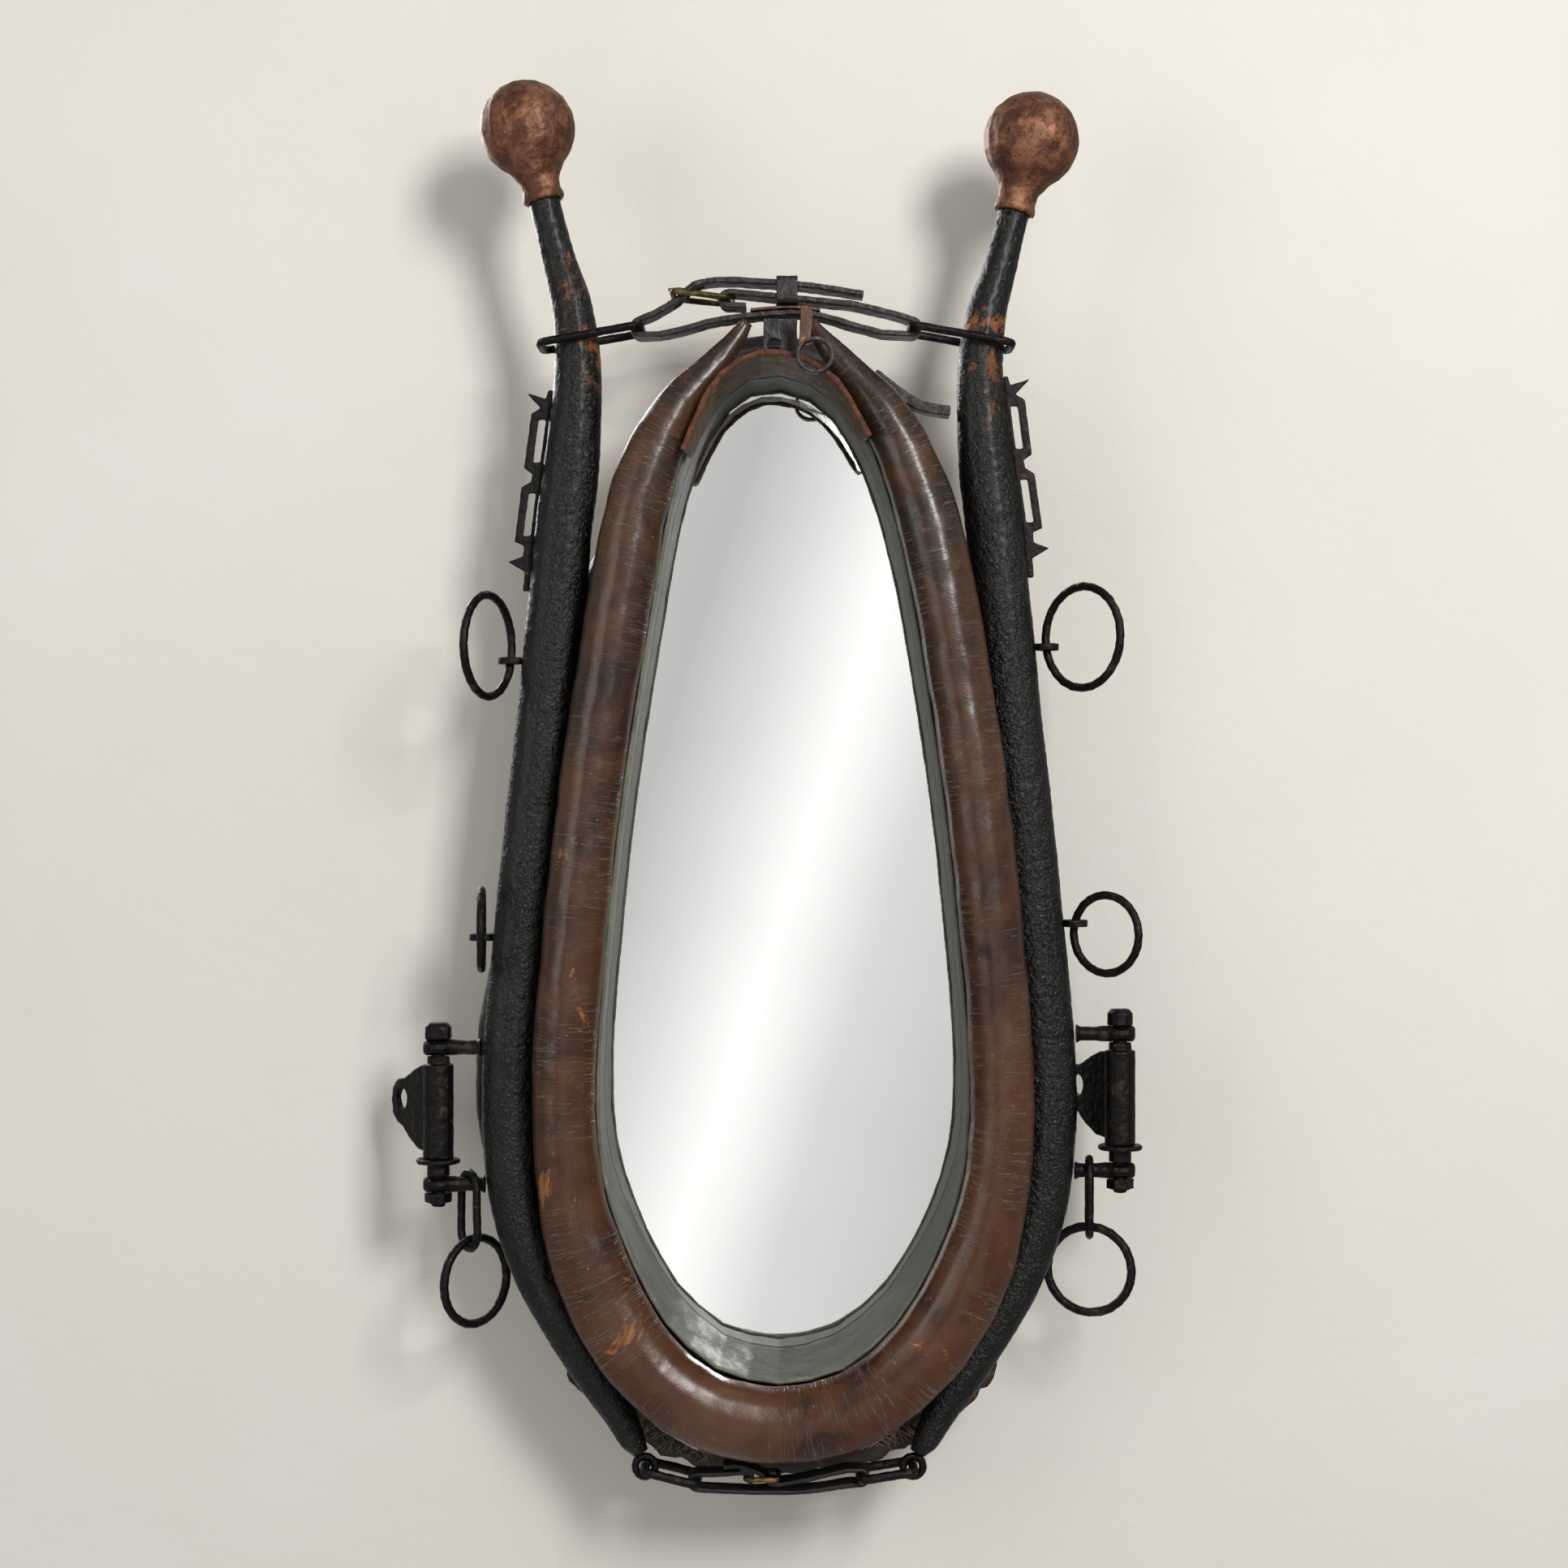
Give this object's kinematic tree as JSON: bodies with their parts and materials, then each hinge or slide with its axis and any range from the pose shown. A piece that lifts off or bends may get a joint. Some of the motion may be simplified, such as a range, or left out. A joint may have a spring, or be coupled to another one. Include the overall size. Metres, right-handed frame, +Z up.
{
  "type": "horse collar",
  "caption": "Horse collar hung as a wall mirror: stuffed leather roll and body, hames with ball tops, buckled hame straps, rein rings, ratchets and hinged tug clips with drop rings",
  "frame": {"origin": "middle of the hanging batten's back face, on the wall", "axes": "X across the collar, Y into the wall, so the collar's front faces -Y, and Z up along the collar"},
  "size_m": [0.4704, 0.1435, 0.8682],
  "materials": {
    "roll_leather": "worn, waxed, finely cracked",
    "body_leather": "worn matt",
    "lining_cloth": "faded grey-green cloth",
    "pale_piping": "pale piping, rubbed",
    "cap_leather": "brown, rough cut edge",
    "strap_leather": "black, waxed",
    "hame_paint": "black pebbled coat over wood, chipped",
    "rusty_copper": "pitted copper-brown plating",
    "black_iron": "black with rust-brown wear",
    "worn_brass": "dull, worn",
    "mirror_silver": "silvered glass",
    "board_wood": "plain sawn board",
    "screw_steel": "plain steel"
  },
  "bodies": {
    "collar": {"backing_board": "board_wood", "board_screw_1": "screw_steel", "board_screw_2": "screw_steel", "board_screw_3": "screw_steel", "board_screw_4": "screw_steel", "bolt_bush_left": "black_iron", "bolt_bush_right": "black_iron", "bolt_nut_left": "black_iron", "bolt_nut_right": "black_iron", "bottom_buckle": "worn_brass", "bottom_hame_strap": "strap_leather", "bottom_link_left": "black_iron", "bottom_link_right": "black_iron", "collar_body": "body_leather", "collar_lining": "lining_cloth", "forewale_roll": "roll_leather", "hame_ball_left": "rusty_copper", "hame_ball_right": "rusty_copper", "hame_left": "hame_paint", "hame_right": "hame_paint", "hame_tie_strap": "strap_leather", "hanging_batten": "board_wood", "lower_arm_left": "black_iron", "lower_arm_right": "black_iron", "lower_batten": "board_wood", "lower_eye_left": "black_iron", "lower_eye_right": "black_iron", "mirror_plate": "mirror_silver", "ratchet_left": "black_iron", "ratchet_right": "black_iron", "throat_cap": "cap_leather", "throat_loop": "strap_leather", "throat_plate": "strap_leather", "throat_tab": "cap_leather", "toe_eye_left": "black_iron", "toe_eye_right": "black_iron", "top_buckle": "worn_brass", "top_buckle_tongue": "worn_brass", "top_hame_strap": "strap_leather", "top_link_left": "black_iron", "top_link_right": "black_iron", "top_strap_keeper": "strap_leather", "top_strap_safe": "cap_leather", "tug_bolt_left": "black_iron", "tug_bolt_right": "black_iron", "upper_arm_left": "black_iron", "upper_arm_right": "black_iron", "upper_eye_left": "black_iron", "upper_eye_right": "black_iron", "welt_piping": "pale_piping"},
    "upper_ring_left_body": {"upper_ring_left": "black_iron"},
    "upper_ring_right_body": {"upper_ring_right": "black_iron"},
    "lower_ring_left_body": {"lower_ring_left": "black_iron"},
    "lower_ring_right_body": {"lower_ring_right": "black_iron"},
    "tug_clip_left_body": {"tug_clip_left": "black_iron"},
    "tug_clip_right_body": {"tug_clip_right": "black_iron"},
    "tug_link_left_body": {"tug_link_left": "black_iron"},
    "tug_link_right_body": {"tug_link_right": "black_iron"},
    "drop_ring_left_body": {"drop_ring_left": "black_iron"},
    "drop_ring_right_body": {"drop_ring_right": "black_iron"}
  },
  "joints": [
    {"name": "upper_ring_left_swing", "type": "hinge", "parent": "collar", "child": "upper_ring_left_body", "pos_m": [-0.16566, -0.083, -0.034], "axis": [0, 0, 1], "range_deg": [-130, 34]},
    {"name": "upper_ring_right_swing", "type": "hinge", "parent": "collar", "child": "upper_ring_right_body", "pos_m": [0.16486, -0.083, -0.0255], "axis": [0, 0, 1], "range_deg": [-50, 120]},
    {"name": "lower_ring_left_swing", "type": "hinge", "parent": "collar", "child": "lower_ring_left_body", "pos_m": [-0.18338, -0.083, -0.2045], "axis": [0, 0, 1], "range_deg": [-120, 12]},
    {"name": "lower_ring_right_swing", "type": "hinge", "parent": "collar", "child": "lower_ring_right_body", "pos_m": [0.18255, -0.083, -0.196], "axis": [0, 0, 1], "range_deg": [-55, 110]},
    {"name": "tug_clip_left_swing", "type": "hinge", "parent": "collar", "child": "tug_clip_left_body", "pos_m": [-0.21051, -0.083, -0.312], "axis": [0, 0, 1], "range_deg": [-54, 120]},
    {"name": "tug_clip_right_swing", "type": "hinge", "parent": "collar", "child": "tug_clip_right_body", "pos_m": [0.21059, -0.083, -0.3035], "axis": [0, 0, 1], "range_deg": [-150, 6]},
    {"name": "tug_link_left_swing", "type": "hinge", "parent": "collar", "child": "tug_link_left_body", "pos_m": [-0.19151, -0.083, -0.3571], "axis": [1, 0, 0], "range_deg": [-70, 34]},
    {"name": "tug_link_right_swing", "type": "hinge", "parent": "collar", "child": "tug_link_right_body", "pos_m": [0.19159, -0.083, -0.3486], "axis": [1, 0, 0], "range_deg": [-4, 8]},
    {"name": "drop_ring_left_swing", "type": "hinge", "parent": "tug_link_left_body", "child": "drop_ring_left_body", "pos_m": [-0.19151, -0.083, -0.3971], "axis": [-0.5446, 0.8387, 0], "range_deg": [-20, 60]},
    {"name": "drop_ring_right_swing", "type": "hinge", "parent": "tug_link_right_body", "child": "drop_ring_right_body", "pos_m": [0.19159, -0.083, -0.3886], "axis": [0.0698, 0.9976, 0], "range_deg": [-60, 5]}
  ]
}
